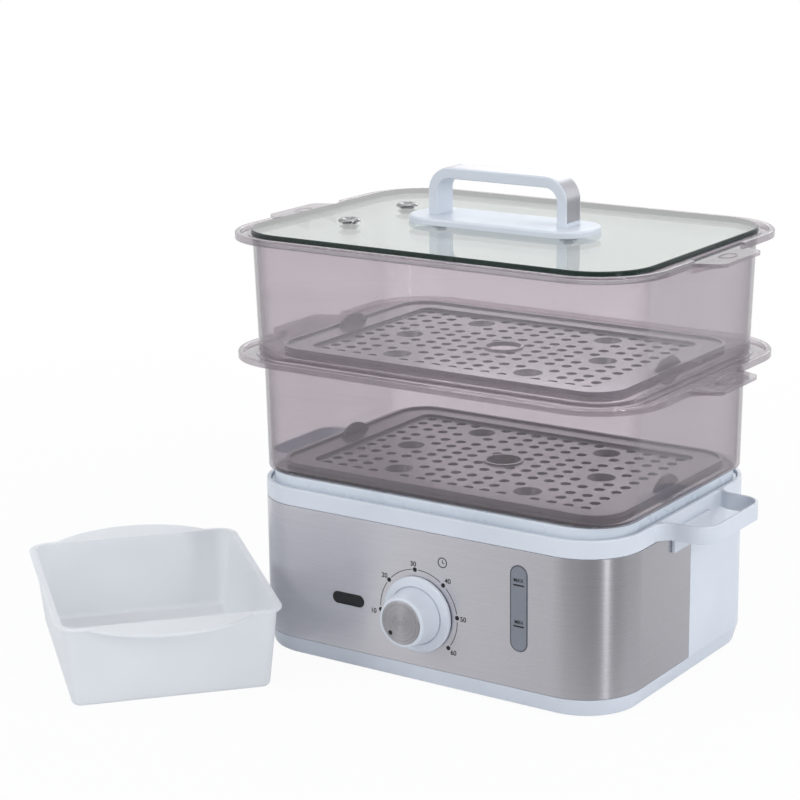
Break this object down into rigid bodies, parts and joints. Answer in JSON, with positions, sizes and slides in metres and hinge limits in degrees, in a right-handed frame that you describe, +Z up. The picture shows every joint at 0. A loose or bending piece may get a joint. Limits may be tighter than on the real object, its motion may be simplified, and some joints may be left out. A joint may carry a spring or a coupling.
{
  "type": "electric food steamer",
  "caption": "Electric food steamer with stacked see-through baskets, a glass lid, a steel-fronted base with a timer dial and a rice bowl standing beside it.",
  "frame": {"origin": "on the table, under the middle of the base", "axes": "+X towards the handle on the right of someone facing the dial, +Y towards the back, away from the dial, +Z up; the dial faces -Y"},
  "size_m": [0.5013, 0.4055, 0.3444],
  "materials": {
    "white_plastic": "satin",
    "drip_plastic": "satin",
    "tank_plastic": "satin",
    "brushed_steel": "brushed",
    "grip_steel": "brushed",
    "smoked_plastic": "polished, see-through",
    "tray_plastic": "polished, see-through",
    "lid_glass": "polished",
    "vent_metal": "satin",
    "bowl_plastic": "milky",
    "black_lens": "polished",
    "window_lens": "satin",
    "clear_tube": "polished",
    "rubber": "matt",
    "plain_steel": "satin",
    "heater_metal": "satin",
    "knob_metal": "spun",
    "black_ink": "matt",
    "gear_brass": "satin",
    "neon_glass": "polished",
    "inner_plastic": "matt"
  },
  "bodies": {
    "base": {"bottom_cover": "white_plastic", "feet": "rubber", "bottom_screws": "plain_steel", "housing": "white_plastic", "steel_panel": "brushed_steel", "top_ring": "white_plastic", "water_tank": "tank_plastic", "heater_well": "tank_plastic", "heater_plate": "heater_metal", "heater_seal": "rubber", "heater_clamp": "plain_steel", "heater_screws": "plain_steel", "element_tube": "plain_steel", "thermostat": "plain_steel", "level_window": "window_lens", "level_tube": "clear_tube", "lamp_lens": "black_lens", "lamp_holder": "inner_plastic", "neon_lamp": "neon_glass", "timer_case": "plain_steel", "timer_nut": "plain_steel", "timer_bell": "plain_steel", "terminal_block": "inner_plastic", "cable_gland": "white_plastic"},
    "timer_dial": {"knob": "white_plastic", "knob_cap": "knob_metal", "pointer_dot": "black_ink", "timer_shaft": "plain_steel", "timer_gear": "gear_brass"},
    "drip_unit": {"drip_tray": "drip_plastic"},
    "lower_tier": {"lower_basket": "smoked_plastic"},
    "lower_plate": {"lower_tray": "tray_plastic"},
    "upper_tier": {"upper_basket": "smoked_plastic"},
    "upper_plate": {"upper_tray": "tray_plastic"},
    "lid": {"lid_glass": "lid_glass", "vent_grommets": "vent_metal", "handle_base": "white_plastic", "handle_grip": "white_plastic", "handle_strip": "grip_steel", "handle_screws": "plain_steel", "handle_washers": "rubber"},
    "bowl": {"rice_bowl": "bowl_plastic"}
  },
  "joints": [
    {"name": "timer_turn", "type": "hinge", "parent": "base", "child": "timer_dial", "pos_m": [0, -0.1123, 0.052], "axis": [0, 1, 0], "range_deg": [0, 265]},
    {"name": "drip_tray_lift", "type": "slide", "parent": "base", "child": "drip_unit", "axis": [0, 0, 1], "range_m": [0, 0.04]},
    {"name": "lower_basket_lift", "type": "slide", "parent": "drip_unit", "child": "lower_tier", "axis": [0, 0, 1], "range_m": [0, 0.1]},
    {"name": "lower_tray_lift", "type": "slide", "parent": "lower_tier", "child": "lower_plate", "axis": [0, 0, 1], "range_m": [0, 0.1]},
    {"name": "upper_basket_lift", "type": "slide", "parent": "lower_plate", "child": "upper_tier", "axis": [0, 0, 1], "range_m": [0, 0.1]},
    {"name": "upper_tray_lift", "type": "slide", "parent": "upper_tier", "child": "upper_plate", "axis": [0, 0, 1], "range_m": [0, 0.1]},
    {"name": "lid_lift", "type": "slide", "parent": "upper_plate", "child": "lid", "axis": [0, 0, 1], "range_m": [0, 0.08]},
    {"name": "bowl_lift", "type": "slide", "parent": "base", "child": "bowl", "axis": [0, 0, 1], "range_m": [0, 0.12]}
  ]
}
